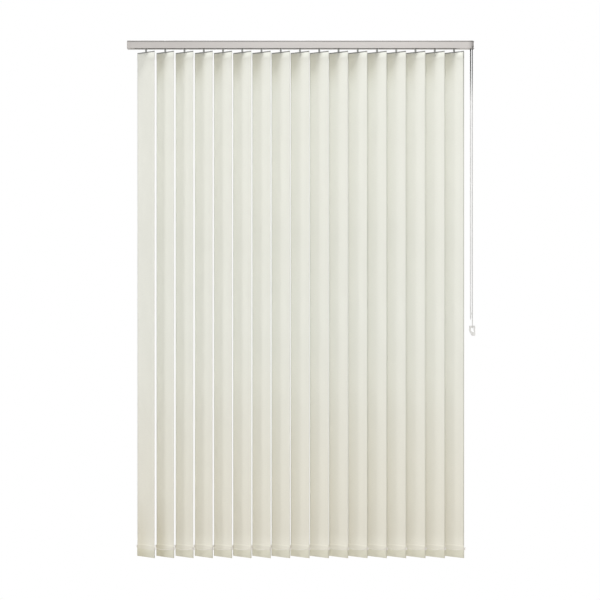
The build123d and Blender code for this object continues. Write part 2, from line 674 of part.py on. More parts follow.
def bottom_weight():
    half = VANE_WIDTH / 2 - WEIGHT_INSET
    thick = (-WEIGHT_THICKNESS / 2, WEIGHT_THICKNESS / 2)
    low = VANE_BOTTOM + CLOTH + POCKET_EASE
    top = low + WEIGHT_HEIGHT
    plate = block((-half, half), thick, (low, top))
    thin = (-EAR_PLATE / 2, EAR_PLATE / 2)
    tip = VANE_WIDTH / 2 + EAR_REACH - LINK_RADIUS - CURVED_GAP
    ear_low = EAR_Z - EAR_TIP / 2
    ear_top = EAR_Z + EAR_TIP / 2
    for side in (-1, 1):
        arm = sorted((side * (half - EAR_ARM), side * half))
        plate += block(arm, thin, (top - FLAT_GAP, ear_top))
        plate += block(sorted((side * (half - EAR_ARM), side * tip)), thin, (ear_low, ear_top))
    return plate


def save_vanes():
    solids = [cloth(), hanger(), hook(), bottom_weight()]
    for i, x in enumerate(AXES):
        place = Pos(x, 0, 0) * Rot(0, 0, -VANE_TURN)
        save(f"vane_{i + 1:02d}", *[place * solid for solid in solids])


# Link chains

def link_chain(side):
    """Swags from ear to ear along the vanes' front or rear edges."""
    turn = math.radians(VANE_TURN)
    out = side * (VANE_WIDTH / 2 + EAR_REACH)
    ahead = -side * EAR_OFFSET
    across = out * math.cos(turn) + ahead * math.sin(turn)
    y = -out * math.sin(turn) + ahead * math.cos(turn)
    slope = math.radians(LINK_SLOPE)
    shoulder = LINK_TURN * math.sin(slope)
    level = EAR_Z - LINK_TURN * (1 - math.cos(slope))
    span = VANE_PITCH / 2 - shoulder
    sag = span * math.tan(slope / 2)
    pieces = []
    for ear in [x + across for x in AXES]:
        over = ThreePointArc((ear - shoulder, y, level), (ear, y, EAR_Z), (ear + shoulder, y, level))
        pieces.append(tube(LINK_RADIUS, over))
    for ear in [x + across for x in AXES[:-1]]:
        middle = ear + VANE_PITCH / 2
        swag = ThreePointArc((middle - span, y, level), (middle, y, level - sag), (middle + span, y, level))
        pieces.append(tube(LINK_RADIUS, swag))
    return joined(pieces)


# Files

save("headrail", headrail())
save("return_end_cap", return_end_cap())
save("control_end_cap", control_end_cap())
save("bracket_left", bracket(-BRACKET_SPAN / 2))
save("bracket_centre", bracket(0))
save("bracket_right", bracket(BRACKET_SPAN / 2))
save("tilt_rod", tilt_rod())
save("chain_sprocket", chain_sprocket())
save("tilt_chain", tilt_chain())
save("chain_connector", chain_connector())
save("draw_cord", draw_cord())
save("draw_cord_run", draw_cord_run())
save("return_pulley", return_pulley())
save("cord_weight", cord_weight())
save("front_link_chain", link_chain(1))
save("rear_link_chain", link_chain(-1))
save_carriers()
save_vanes()
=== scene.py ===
import json
import math

import bmesh
import bpy
import numpy as np
from mathutils import Matrix, Vector


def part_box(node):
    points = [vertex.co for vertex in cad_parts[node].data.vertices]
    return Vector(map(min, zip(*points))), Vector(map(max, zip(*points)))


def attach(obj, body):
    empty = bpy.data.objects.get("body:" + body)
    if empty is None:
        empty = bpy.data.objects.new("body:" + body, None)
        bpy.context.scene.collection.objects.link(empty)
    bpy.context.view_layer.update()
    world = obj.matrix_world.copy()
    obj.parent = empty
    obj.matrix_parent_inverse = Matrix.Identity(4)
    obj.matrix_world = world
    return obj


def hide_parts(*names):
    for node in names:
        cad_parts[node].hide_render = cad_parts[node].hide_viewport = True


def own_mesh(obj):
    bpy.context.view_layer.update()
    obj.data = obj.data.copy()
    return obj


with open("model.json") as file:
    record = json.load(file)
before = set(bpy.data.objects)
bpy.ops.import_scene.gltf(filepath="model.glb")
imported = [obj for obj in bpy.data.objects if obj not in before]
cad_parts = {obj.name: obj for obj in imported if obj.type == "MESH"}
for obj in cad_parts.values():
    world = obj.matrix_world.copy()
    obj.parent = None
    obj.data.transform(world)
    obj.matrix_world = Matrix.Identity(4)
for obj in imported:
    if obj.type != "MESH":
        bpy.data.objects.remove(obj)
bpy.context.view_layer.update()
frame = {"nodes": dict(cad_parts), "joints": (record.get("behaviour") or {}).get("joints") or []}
scene = bpy.context.scene

# Sizes are in metres and angles in degrees, as in the CAD part.

# Vanes
VANE_WIDTH = 0.089
VANE_LENGTH = 2.095
VANE_TURN = 30
CLOTH = 0.0005
TOP_POCKET = 0.030
BOTTOM_POCKET = 0.052
POCKET_RAMP = 0.006
POCKET_EASE = 0.0001
FLAP_SHARE = 1.08  # of the cloth's thickness, from its middle to the flap's
FOLD_RISE = 0.0013
FOLD_WIDTH_SHARE = 0.7
FOLD_START_SHARE = 1.5
FOLD_TURN_SHARE = 0.6
SLIT_HALF = 0.0028
CLOTH_COLUMNS = 12
CLOTH_ROWS = 44
CLOTH_SHARP = 50
CLOTH_BOW = 0.0011
CLOTH_TWIST = 0.5
BOW_START = 0.4  # radians, as are the steps from vane to vane
BOW_STEP = 2.1
TWIST_STEP = 1.7
CLOTH_EDGE = 0.0034
CLOTH_EDGE_FADE = 0.0014
# Painted shade along the vanes' edges, which grows darker over this last drop to the top
EDGE_SHADE_DROP = 0.5
FAINT_EDGE_SHARE = 0.12
# Painted shade on the vanes' left halves: high up under the next vane, and low on the first vanes
SHADE_DROP = 0.15
SHADE_RISE = 0.26
LOW_SHADED_VANES = 2
SEAM_BAND = 0.0042
SEAM_FADE = 0.0008
SEAM_PROUD = 0.0002
STITCH_LENGTH = 0.0023
STITCH_PITCH = 0.0031
STITCH_RADIUS = 0.0003
STITCH_DROP = 0.0018
STITCH_SHARES = (-1, 1.75)  # of the cloth's thickness, on the front and on the flap

# Hangers, hooks and bottom weights
HANGER_THICKNESS = 0.0012
HANGER_HEIGHT = 0.018
HANGER_INSET = 0.004
SHOULDER_HEIGHT = 0.0040
SHOULDER_INSET = 0.0005
SHOULDER_GAP = 0.0001
TAB_WIDTH = 0.005
TAB_RISE = 0.0056
EYE_RISE = 0.0032
EYE_RADIUS = 0.0013
PIN_RADIUS = 0.0012
BLADE_WIDTH = 0.0072
BLADE_NECK = 0.0060
BLADE_THICKNESS = 0.0034
BLADE_GAP = 0.0004
BLADE_FOOT = 0.0006
PRONG_THICKNESS = 0.0010
SHAFT_RADIUS = 0.0025
GEAR_RADIUS = 0.0035
GEAR_ROOT = 0.0029
GEAR_HEIGHT = 0.008
GEAR_TEETH = 12
TOOTH_POINTS = 4
WEIGHT_THICKNESS = 0.0024
WEIGHT_HEIGHT = 0.030
WEIGHT_INSET = 0.004
EAR_HEIGHT = 0.044
EAR_PLATE = 0.0016
EAR_ARM = 0.004
EAR_SEAT = 0.0022
EAR_REACH = 0.0045
EAR_OFFSET = 0.0016
EAR_GAP = 0.0003
CLIP_RADIUS = 0.0042
CLIP_REACH = 0.0018
ROUND_CORNERS = 24
EYE_CORNERS = 16
SHARP_ANGLE = 30

# Chains and cord
LINK_RADIUS = 0.0013
LINK_PITCH = 0.0034
LINK_WIRE = 0.0004
LINK_HUMP = 0.0022
LINK_SAG = 0.0080
BEAD_RADIUS = 0.00225
BEAD_PITCH = 0.006
BEAD_WIRE = 0.0010
WIRE_CORNERS = 5
CHAIN_STRAIGHT = 0.027
CORD_RADIUS = 0.0012
CORD_STRAIGHT = 0.012
CORD_LAY = 0.0064
CORD_LAY_STEPS = 8
CORD_BAR_DEPTH = 0.005
CORD_BAR_TURN = 0.0045
STRANDS = 3
STRAND_CORNERS = 6
STRAND_SHARE = 0.54

# Pin in the control end's cap
CAP_CORNER = 0.014
PIN_TURN = 24
PIN_HEIGHT = 0.0044
PIN_HEAD = 0.0023
PIN_PROUD = 0.0006
PIN_EDGE_STEPS = 3

# Soft edges
RAIL_EDGE = 0.0004
CAP_EDGE = 0.0006
BRACKET_EDGE = 0.0003
SPROCKET_EDGE = 0.0001
CONNECTOR_EDGE = 0.0004
PULLEY_EDGE = 0.0002
CORD_WEIGHT_EDGE = 0.0009
CARRIER_EDGE = 0.0003
EDGE_STEPS = 2
EDGE_ANGLE = 35

# Finishes and painted shade
WEAVE_RELIEF = 0.0002
FINE_RELIEF = 0.0001
# Painted shade in corners and grooves: how far the darkening reaches, and its colour
CORNER_SHADE = 0.005
HOLLOW_SHADE = (0.35, 0.345, 0.34)
# Painted shade at the control cap's right end: how far from the end it darkens
CAP_END_SHADE = 0.030
# Painted shade on the chain and cord below the headrail: full down to the first drop, gone by the second
CONTROL_DARK = 0.072
CONTROL_LIGHT = 0.246
MIDDLE_SHARES = (0.3, 0.7)  # of a noise's range, where most of it lies

# Camera: level, square to the headrail and in front of the vanes' middle
CAMERA_DISTANCE = 4.7
CAMERA_DROP = 1.0766
PIXELS = 600
PIXEL = 0.004156  # of the photograph, at the vanes' axes
SENSOR = 36

# Floor and light, with each lamp's place, size and power in watts
FLOOR_DROP = 0.4
FLOOR_SIZE = 30
FLOOR_COLOUR = (0.55, 0.53, 0.5)
SHADOW_REACH = 0.35
SHADOW_END = 1.2
SHADOW_WHITE_SHARE = 0.84
LAMPS = {
    "front": ((-0.15, -4.8, 0.5), 1.8, 67),
    "side": ((-7.1, -3.7, 0.5), 2.4, 108),
    "top": ((-0.3, -2.0, 9.7), 2.6, 1050),
    "rear": ((-0.1, 4.8, 0.4), 1.8, 45),
    "rear_side": ((3.15, 2.46, 0.4), 2.4, 90),
}
FILL_LEVEL = 0.32
WHITE = (1, 1, 1, 1)

# Places taken from the frame
JOINTS = {joint["name"]: joint for joint in frame["joints"]}
AXES = {j["child"]: j["pos_m"][0] for j in frame["joints"] if j["child"].startswith("vane_")}
VANES = sorted(AXES)
CARRIERS = sorted(name for name in frame["nodes"] if name.startswith("carrier_"))
RAIL_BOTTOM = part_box("headrail")[0].z
VANE_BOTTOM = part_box(VANES[0])[0].z
VANE_TOP = VANE_BOTTOM + VANE_LENGTH
TOP_SEAM = VANE_TOP - TOP_POCKET
BOTTOM_SEAM = VANE_BOTTOM + BOTTOM_POCKET
SHOULDER_TOP = VANE_TOP + SHOULDER_GAP + SHOULDER_HEIGHT
VANE_PITCH = AXES[VANES[1]] - AXES[VANES[0]]
VANES_MIDDLE = (AXES[VANES[0]] + AXES[VANES[-1]]) / 2
EAR_Z = VANE_BOTTOM + EAR_HEIGHT
ROD_Y, ROD_Z = JOINTS["tilt_rod_spin"]["pos_m"][1:]


# Mesh helpers

def add_piece(name, mesh, body, material, place=None):
    """A piece of the object, which moves with a body."""
    piece = bpy.data.objects.new(name, mesh)
    scene.collection.objects.link(piece)
    if place is not None:
        piece.matrix_world = place
    if not mesh.materials:
        mesh.materials.append(material)
    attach(piece, body)
    return piece


def mesh_of(name, points, faces, smooth=True):
    """A mesh of points and faces."""
    mesh = bpy.data.meshes.new(name)
    mesh.from_pydata([tuple(p) for p in points], [], [tuple(f) for f in faces])
    mesh.validate()
    if smooth:
        mesh.shade_smooth()
    return mesh


def mesh_from_bmesh(name, shape):
    """A mesh with smooth faces and sharp edges above an angle."""
    bmesh.ops.recalc_face_normals(shape, faces=shape.faces)
    mesh = bpy.data.meshes.new(name)
    shape.to_mesh(mesh)
    shape.free()
    mesh.shade_smooth()
    mesh.set_sharp_from_angle(angle=math.radians(SHARP_ANGLE))
    return mesh


def bevel(piece, width, segments=EDGE_STEPS):
    """Softens a piece's edges."""
    edge = piece.modifiers.new("soft_edges", "BEVEL")
    edge.width = width
    edge.segments = segments
    edge.limit_method = "ANGLE"
    edge.angle_limit = math.radians(EDGE_ANGLE)
    edge.harden_normals = True


def add_box(shape, x, y, z):
    """Adds a box between pairs of limits to a bmesh."""
    size = [high - low for low, high in (x, y, z)]
    middle = [(low + high) / 2 for low, high in (x, y, z)]
    place = Matrix.Translation(middle) @ Matrix.Diagonal((*size, 1))
    bmesh.ops.create_cube(shape, size=1, matrix=place)


def add_prism(shape, outline, axis, low, high):
    """Adds an outline of two coordinates, raised along X, Y or Z, to a bmesh."""
    def lifted(point, level):
        co = list(point)
        co.insert(axis, level)
        return shape.verts.new(co)

    first = [lifted(point, low) for point in outline]
    last = [lifted(point, high) for point in outline]
    shape.faces.new(first)
    shape.faces.new(last)
    for i, start in enumerate(first):
        j = (i + 1) % len(first)
        shape.faces.new((start, first[j], last[j], last[i]))


def ring(radius, count, middle=(0, 0), start=0):
    """Corners of a regular outline."""
    turns = [start + 2 * math.pi * i / count for i in range(count)]
    return [(middle[0] + radius * math.cos(t), middle[1] + radius * math.sin(t)) for t in turns]


def clamped(share):
    """A share kept between 0 and 1."""
    return min(1, max(0, share))


# Routes of chains and cords

def read_route(points, steps=24):
    """Points along the smooth line that has these control points."""
    curve = bpy.data.curves.new("route", "CURVE")
    curve.dimensions = "3D"
    curve.resolution_u = steps
    spline = curve.splines.new("NURBS")
    spline.points.add(len(points) - 1)
    for place, point in zip(spline.points, points):
        place.co = (*point, 1)
    spline.order_u = 3
    spline.use_endpoint_u = True
    holder = bpy.data.objects.new("route", curve)
    mesh = bpy.data.meshes.new_from_object(holder)
    line = np.array([v.co for v in mesh.vertices], float)
    bpy.data.objects.remove(holder)
    bpy.data.meshes.remove(mesh)
    bpy.data.curves.remove(curve)
    return line


def spaced(line, step):
    """Points along a line, evenly spaced at about a step."""
    lengths = np.linalg.norm(np.diff(line, axis=0), axis=1)
    along = np.concatenate([[0], np.cumsum(lengths)])
    count = max(2, round(along[-1] / step) + 1)
    wanted = np.linspace(0, along[-1], count)
    return np.stack([np.interp(wanted, along, line[:, i]) for i in range(3)], axis=1)


def length_of(line):
    """The length of a line through points."""
    return float(np.linalg.norm(np.diff(line, axis=0), axis=1).sum())


def frames_along(line):
    """Two cross directions at each point, carried along the line without twist."""
    ahead = np.gradient(line, axis=0)
    ahead /= np.linalg.norm(ahead, axis=1)[:, None]
    side = np.cross(ahead[0], (1, 0, 0))
    nearly_along_share = 0.1
    if np.linalg.norm(side) < nearly_along_share:
        side = np.cross(ahead[0], (0, 1, 0))
    sides = []
    for direction in ahead:
        side = side - direction * (side @ direction)
        side = side / np.linalg.norm(side)
        sides.append(side)
    sides = np.array(sides)
    return sides, np.cross(ahead, sides)


def tube_parts(line, radius, corners, offset=0, turns=None):
    """Points and faces of a tube, or of a strand wound round the line."""
    first, second = frames_along(line)
    middle = line
    if turns is not None:
        middle = line + offset * (np.cos(turns)[:, None] * first + np.sin(turns)[:, None] * second)
    points = []
    for corner in range(corners):
        angle = 2 * math.pi * corner / corners
        points.append(middle + radius * (math.cos(angle) * first + math.sin(angle) * second))
    points = np.stack(points, axis=1).reshape(-1, 3)
    faces = []
    for i in range(len(line) - 1):
        for corner in range(corners):
            near, far = i * corners, (i + 1) * corners
            other = (corner + 1) % corners
            faces.append((near + corner, near + other, far + other, far + corner))
    faces.append(tuple(range(corners))[::-1])
    last = (len(line) - 1) * corners
    faces.append(tuple(last + corner for corner in range(corners)))
    return points, faces


def ball_parts(radius, rows=7, columns=10):
    """Points and faces of a small round bead."""
    shape = bmesh.new()
    bmesh.ops.create_uvsphere(shape, u_segments=columns, v_segments=rows, radius=radius)
    points = np.array([v.co for v in shape.verts])
    faces = [tuple(v.index for v in face.verts) for face in shape.faces]
    shape.free()
    return points, faces


def gathered(parts):
    """Several sets of points and faces as one."""
    points, faces, count = [], [], 0
    for own_points, own_faces in parts:
        points.append(own_points)
        faces.extend(tuple(i + count for i in face) for face in own_faces)
        count += len(own_points)
    return np.concatenate(points), faces


def bead_chain(name, line, radius, pitch, wire):
    """Beads on a thin wire along a line."""
    places = spaced(line, pitch)
    ball, faces = ball_parts(radius)
    parts = [(ball + place, faces) for place in places]
    parts.append(tube_parts(spaced(line, pitch / 2), wire, WIRE_CORNERS))
    return mesh_of(name, *gathered(parts))


def twisted_cord(name, line, radius, lay):
    """Strands wound round a line."""
    fine = spaced(line, lay / CORD_LAY_STEPS)
    turns = 2 * math.pi * np.linspace(0, length_of(fine) / lay, len(fine))
    starts = [2 * math.pi * i / STRANDS for i in range(STRANDS)]
    thick = radius * STRAND_SHARE
    offset = radius * (1 - STRAND_SHARE)
    parts = [tube_parts(fine, thick, STRAND_CORNERS, offset, turns + start) for start in starts]
    return mesh_of(name, *gathered(parts))


# Materials

def new_material(name, colour, roughness, metallic=0):
    """A Principled material, its node tree and its shader."""
    made = bpy.data.materials.new(name)
    made.use_nodes = True
    tree = made.node_tree
    shader = tree.nodes["Principled BSDF"]
    shader.inputs["Base Color"].default_value = (*colour, 1)
    shader.inputs["Roughness"].default_value = roughness
    shader.inputs["Metallic"].default_value = metallic
    return made, tree, shader


def node(tree, kind, links=None, **values):
    """A node with named properties or inputs set and named inputs linked."""
    made = tree.nodes.new(kind)
    for key, value in values.items():
        if hasattr(made, key):
            setattr(made, key, value)
        else:
            made.inputs[key.replace("_", " ")].default_value = value
    for key, socket in (links or {}).items():
        tree.links.new(socket, made.inputs[key])
    return made


def srgb(red, green, blue):
    """A colour as seen on screen, made linear."""
    def linear(value):
        value /= 255
        return value / 12.92 if value <= 0.04045 else ((value + 0.055) / 1.055) ** 2.4

    return linear(red), linear(green), linear(blue)


def stretched(tree, scale):
    """The piece's own coordinates, scaled along each axis."""
    place = node(tree, "ShaderNodeTexCoord").outputs["Object"]
    return node(tree, "ShaderNodeMapping", {"Vector": place}, Scale=scale).outputs["Vector"]


def noise(tree, stretch, detail, scale=1):
    """Noise over the piece's own coordinates, finer along an axis that is scaled more."""
    place = stretched(tree, stretch)
    return node(tree, "ShaderNodeTexNoise", {"Vector": place}, Scale=scale, Detail=detail).outputs[0]


def combined(tree, first, second, operation):
    """Two values added, multiplied or compared."""
    return node(tree, "ShaderNodeMath", {0: first, 1: second}, operation=operation).outputs[0]


def mixed(tree, factor, first, second, blend_type="MIX"):
    """Two colours, or the sockets that give them, mixed by a factor."""
    made = node(tree, "ShaderNodeMix", {"Factor": factor}, data_type="RGBA", blend_type=blend_type)
    sockets = [socket for socket in made.inputs if socket.type == "RGBA"]
    for socket, colour in zip(sockets, (first, second)):
        if isinstance(colour, tuple):
            socket.default_value = (*colour, 1)
        else:
            tree.links.new(colour, socket)
    return [socket for socket in made.outputs if socket.type == "RGBA"][0]


def wandering(tree, value, first, second):
    """A colour that wanders between two as a noise does."""
    return mixed(tree, ranged(tree, value, 0, 1, *MIDDLE_SHARES), first, second)


def coloured(tree, shader, colour):
    """Gives a shader its base colour."""
    tree.links.new(colour, shader.inputs["Base Color"])


def roughened(tree, shader, value, low, high):
    """Roughness that wanders between two values as a noise does."""
    tree.links.new(ranged(tree, value, low, high), shader.inputs["Roughness"])


def axis_share(tree, axis, low, high):
    """How far along one of the piece's axes a place is, from 0 at one level to 1 at another."""
    place = node(tree, "ShaderNodeTexCoord").outputs["Object"]
    level = node(tree, "ShaderNodeSeparateXYZ", {"Vector": place}).outputs[axis]
    return ranged(tree, level, 0, 1, low, high, "SMOOTHSTEP")


def ranged(tree, value, low, high, start=0, end=1, interpolation_type="LINEAR"):
    """A value moved from one range to another."""
    made = node(tree, "ShaderNodeMapRange", {"Value": value}, interpolation_type=interpolation_type)
    limits = {"From Min": start, "From Max": end, "To Min": low, "To Max": high}
    for key, limit in limits.items():
        made.inputs[key].default_value = limit
    return made.outputs["Result"]


def bumped(tree, shader, height, strength, distance=FINE_RELIEF):
    """Gives a shader a fine relief."""
    relief = node(tree, "ShaderNodeBump", {"Height": height}, Strength=strength, Distance=distance)
    tree.links.new(relief.outputs["Normal"], shader.inputs["Normal"])


def shaded_in_hollows(tree, clean):
    """A colour with painted shade in the piece's corners and grooves, where little light reaches."""
    open_share = node(tree, "ShaderNodeAmbientOcclusion", samples=8, only_local=True, Distance=CORNER_SHADE)
    return mixed(tree, ranged(tree, open_share.outputs["AO"], 1, 0), clean, HOLLOW_SHADE, "MULTIPLY")


def shaded_below_rail(tree, clean, dark):
    """A control's colour with painted shade, which turns it darker near the headrail."""
    up = axis_share(tree, "Z", RAIL_BOTTOM - CONTROL_LIGHT, RAIL_BOTTOM - CONTROL_DARK)
    return mixed(tree, up, clean, dark)


def cloth_colour(tree, slubs):
    """Off-white with painted shade: darker and yellower low down, and darkened or lightened where the
    cloth's shares say.
    """
    tint = combined(tree, slubs, noise(tree, (9, 9, 3), 2), "MULTIPLY")
    factor = ranged(tree, tint, 0, 1, 0.12, 0.42)
    upper = mixed(tree, factor, srgb(230, 231, 223), srgb(236, 237, 229))
    # Painted shade: the lower colour is darker and yellower, so the cloth darkens towards the bottom.
    lower = mixed(tree, factor, srgb(226, 223, 211), srgb(232, 230, 218))
    colour = mixed(tree, axis_share(tree, "Z", VANE_BOTTOM, VANE_BOTTOM + VANE_LENGTH / 2), lower, upper)
    edge_shade_height = axis_share(tree, "Z", VANE_TOP - EDGE_SHADE_DROP, VANE_TOP)
    shades = {
        # painted shade over the bottom weight in its pocket
        "insert": (0.965, 0.975, 0.925),
        # painted shade along the edges, darker high up
        "edge": mixed(tree, edge_shade_height, (0.74, 0.74, 0.72), (0.5, 0.5, 0.48)),
        # painted highlight on the band just below the bottom seam
        "seam": (1.06, 1.06, 1.06),
        # painted shade on the left half
        "left_shade": (0.88, 0.86, 0.80),
    }
    for name, shade in shades.items():
        share = node(tree, "ShaderNodeAttribute", attribute_name=name).outputs["Fac"]
        colour = mixed(tree, share, colour, shade, "MULTIPLY")
    return colour


def cloth_material():
    """Stiffened polyester: a fine weave with slubs."""
    made, tree, shader = new_material("vane_cloth", srgb(232, 234, 223), 0.86)
    shader.inputs["Sheen Weight"].default_value = 0.12
    shader.inputs["Sheen Roughness"].default_value = 0.6
    shader.inputs["Specular IOR Level"].default_value = 0.25
    across = stretched(tree, (1, 1, 1))
    warp = node(tree, "ShaderNodeTexWave", {"Vector": across}, bands_direction="X", Scale=520)
    weft = node(tree, "ShaderNodeTexWave", {"Vector": across}, bands_direction="Z", Scale=430)
    slubs = noise(tree, (70, 70, 900), 4)
    coloured(tree, shader, cloth_colour(tree, slubs))
    threads = combined(tree, warp.outputs["Fac"], weft.outputs["Fac"], "ADD")
    bumped(tree, shader, combined(tree, threads, slubs, "ADD"), 0.35, WEAVE_RELIEF)
    return made


def paint_material(name, light, dark):
    """Powder-coated metal with a fine orange peel, painted shade in its corners and grooves, and painted
    light that makes it darker towards the left end and lighter towards the right.
    """
    made, tree, shader = new_material(name, light, 0.42)
    shader.inputs["Coat Weight"].default_value = 0.15
    shader.inputs["Coat Roughness"].default_value = 0.3
    grain = noise(tree, (1, 1, 1), 3, 900)
    broad = noise(tree, (3, 30, 30), 3)
    # Painted light: the rail is darker at its left end and lighter at its right, as the lamps fall on it;
    # the broad noise is the paint's own wandering tone.
    along = axis_share(tree, "X", *(corner.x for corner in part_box("headrail")))
    clean = mixed(tree, ranged(tree, combined(tree, along, broad, "ADD"), 0, 1, 0.4, 1.6), dark, light)
    coloured(tree, shader, shaded_in_hollows(tree, clean))
    roughened(tree, shader, grain, 0.36, 0.5)
    bumped(tree, shader, grain, 0.12)
    return made


def plastic_material(name, light, dark, roughness=0.45):
    """Moulded plastic with a faint flow grain."""
    made, tree, shader = new_material(name, light, roughness)
    shader.inputs["IOR"].default_value = 1.5
    flow = noise(tree, (120, 120, 60), 4)
    grain = noise(tree, (1, 1, 1), 2, 1500)
    coloured(tree, shader, wandering(tree, flow, dark, light))
    roughened(tree, shader, flow, roughness - 0.06, roughness + 0.08)
    bumped(tree, shader, grain, 0.15)
    return made


def cap_material(name, light, dark, end_shade):
    """A cap's plastic with painted shade in its groove, and painted shade that turns it to another colour
    towards the right end.
    """
    made = plastic_material(name, light, dark, 0.42)
    tree = made.node_tree
    shader = tree.nodes["Principled BSDF"]
    clean = shader.inputs["Base Color"].links[0].from_socket
    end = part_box("control_end_cap")[1].x
    # Painted shade towards the cap's right end, where its rounded corner turns from the light.
    colour = mixed(tree, axis_share(tree, "X", end - CAP_END_SHADE, end), clean, end_shade)
    coloured(tree, shader, shaded_in_hollows(tree, colour))
    return made


def steel_material(name, light, dark, stretch, roughness=0.34):
    """Plated or extruded metal, brushed along one axis."""
    made, tree, shader = new_material(name, light, roughness, 1)
    brush = noise(tree, stretch, 5)
    coloured(tree, shader, wandering(tree, brush, dark, light))
    roughened(tree, shader, brush, roughness - 0.1, roughness + 0.14)
    bumped(tree, shader, brush, 0.1)
    return made


def control_bead_material():
    """Moulded beads, with painted shade that darkens them near the headrail."""
    made, tree, shader = new_material("control_bead_plastic", srgb(226, 226, 226), 0.36)
    grain = noise(tree, (400, 400, 90), 3)
    clean = wandering(tree, grain, srgb(216, 216, 216), srgb(228, 228, 228))
    coloured(tree, shader, shaded_below_rail(tree, clean, srgb(44, 45, 45)))
    roughened(tree, shader, grain, 0.3, 0.44)
    bumped(tree, shader, grain, 0.1)
    return made


def cord_material():
    """Polyester cord with fine fibres, with painted shade that darkens it near the headrail."""
    made, tree, shader = new_material("cord_fibre", srgb(226, 224, 218), 0.8)
    shader.inputs["Sheen Weight"].default_value = 0.2
    fibres = noise(tree, (5000, 5000, 900), 2)
    clean = wandering(tree, fibres, srgb(196, 196, 195), srgb(222, 222, 220))
    coloured(tree, shader, shaded_below_rail(tree, clean, srgb(30, 31, 31)))
    bumped(tree, shader, fibres, 0.3)
    return made


CLOTH_LOOK = cloth_material()
THREAD_LOOK = plastic_material("stitch_thread", srgb(240, 240, 232), srgb(228, 228, 218), 0.6)
PAINT_LOOK = paint_material("headrail_paint", srgb(207, 203, 200), srgb(184, 180, 177))
CAP_LOOK = cap_material("cap_plastic", srgb(188, 184, 181), srgb(183, 179, 176), srgb(188, 184, 181))
# The control cap's last colour is the painted shade at its right end.
CONTROL_CAP_LOOK = cap_material("control_cap_plastic", srgb(208, 204, 201), srgb(203, 199, 196),
                                srgb(150, 147, 145))
HOOK_LOOK = plastic_material("hook_plastic", srgb(156, 157, 155), srgb(144, 145, 143), 0.35)
HANGER_LOOK = plastic_material("hanger_plastic", srgb(132, 133, 130), srgb(120, 121, 118), 0.4)
WHITE_LOOK = plastic_material("white_plastic", srgb(240, 240, 236), srgb(232, 232, 228), 0.4)
CARRIER_LOOK = plastic_material("carrier_plastic", srgb(196, 196, 194), srgb(182, 182, 180), 0.4)
WEIGHT_LOOK = plastic_material("cord_weight_plastic", srgb(228, 228, 226), srgb(220, 220, 218))
BEAD_LOOK = plastic_material("bead_plastic", srgb(222, 217, 211), srgb(214, 209, 203), 0.35)
CLIP_LOOK = plastic_material("clip_plastic", srgb(242, 238, 234), srgb(236, 232, 228), 0.4)
CONTROL_LOOK = control_bead_material()
PIN_LOOK = plastic_material("pin_plastic", srgb(52, 51, 50), srgb(42, 41, 40), 0.5)
ZINC_LOOK = steel_material("zinc_plate", (0.72, 0.72, 0.73), (0.6, 0.6, 0.62), (60, 400, 60))
ROD_LOOK = steel_material("rod_aluminium", (0.78, 0.78, 0.79), (0.66, 0.66, 0.68), (20, 900, 900))
CORD_LOOK = cord_material()


# Camera

def add_camera():
    """Camera whose picture has the photograph's scale at the vanes' axes."""
    data = bpy.data.cameras.new("camera")
    data.sensor_width = SENSOR
    data.lens = SENSOR * CAMERA_DISTANCE / (PIXELS * PIXEL)
    camera = bpy.data.objects.new("camera", data)
    scene.collection.objects.link(camera)
    camera.location = (VANES_MIDDLE, -CAMERA_DISTANCE, -CAMERA_DROP)
    camera.rotation_euler = (math.pi / 2, 0, 0)
    scene.camera = camera


# Chains and cord

def add_tilt_chain():
    """Bead chain that hangs in a loop from the sprocket."""
    low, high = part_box("tilt_chain")
    x = (low.x + high.x) / 2
    front = low.y + BEAD_RADIUS
    rear = high.y - BEAD_RADIUS
    top = high.z - BEAD_RADIUS
    bottom = low.z + BEAD_RADIUS
    points = [
        (x, ROD_Y - BEAD_PITCH / 2, top),
        (x, front, top),
        (x, front, RAIL_BOTTOM),
        (x, front, bottom + CHAIN_STRAIGHT),
        (x, front, bottom),
        (x, rear, bottom),
        (x, rear, bottom + CHAIN_STRAIGHT),
        (x, rear, RAIL_BOTTOM),
        (x, rear, top),
        (x, ROD_Y + BEAD_PITCH / 2, top),
    ]
    line = read_route(points)
    mesh = bead_chain("tilt_chain_beads", line, BEAD_RADIUS, BEAD_PITCH, BEAD_WIRE)
    chain = add_piece("tilt_chain_beads", mesh, "headrail", CONTROL_LOOK)
    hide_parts("tilt_chain")


def add_draw_cord():
    """Cord that hangs in a loop from the headrail, with the cord weight at its foot."""
    low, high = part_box("draw_cord")
    x = (low.x + high.x) / 2
    front = low.y + CORD_RADIUS
    rear = high.y - CORD_RADIUS
    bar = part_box("cord_weight")[1].z - CORD_BAR_DEPTH
    bottom = low.z + CORD_RADIUS
    points = [
        (x, front, high.z),
        (x, front, RAIL_BOTTOM - CORD_STRAIGHT),
        (x, -CORD_BAR_TURN, bar + CORD_STRAIGHT),
        (x, -CORD_BAR_TURN, bottom),
        (x, CORD_BAR_TURN, bottom),
        (x, CORD_BAR_TURN, bar + CORD_STRAIGHT),
        (x, rear, RAIL_BOTTOM - CORD_STRAIGHT),
        (x, rear, high.z),
    ]
    line = read_route(points)
    mesh = twisted_cord("draw_cord_strands", line, CORD_RADIUS, CORD_LAY)
    cord = add_piece("draw_cord_strands", mesh, "headrail", CORD_LOOK)
    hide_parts("draw_cord")


def ear_place(vane, side):
    """Where a link chain passes a vane's front or rear ear."""
    out = side * (VANE_WIDTH / 2 + EAR_REACH)
    turn = Matrix.Rotation(-math.radians(VANE_TURN), 3, "Z")
    return turn @ Vector((out, -side * EAR_OFFSET, EAR_Z)) + Vector((AXES[vane], 0, 0))


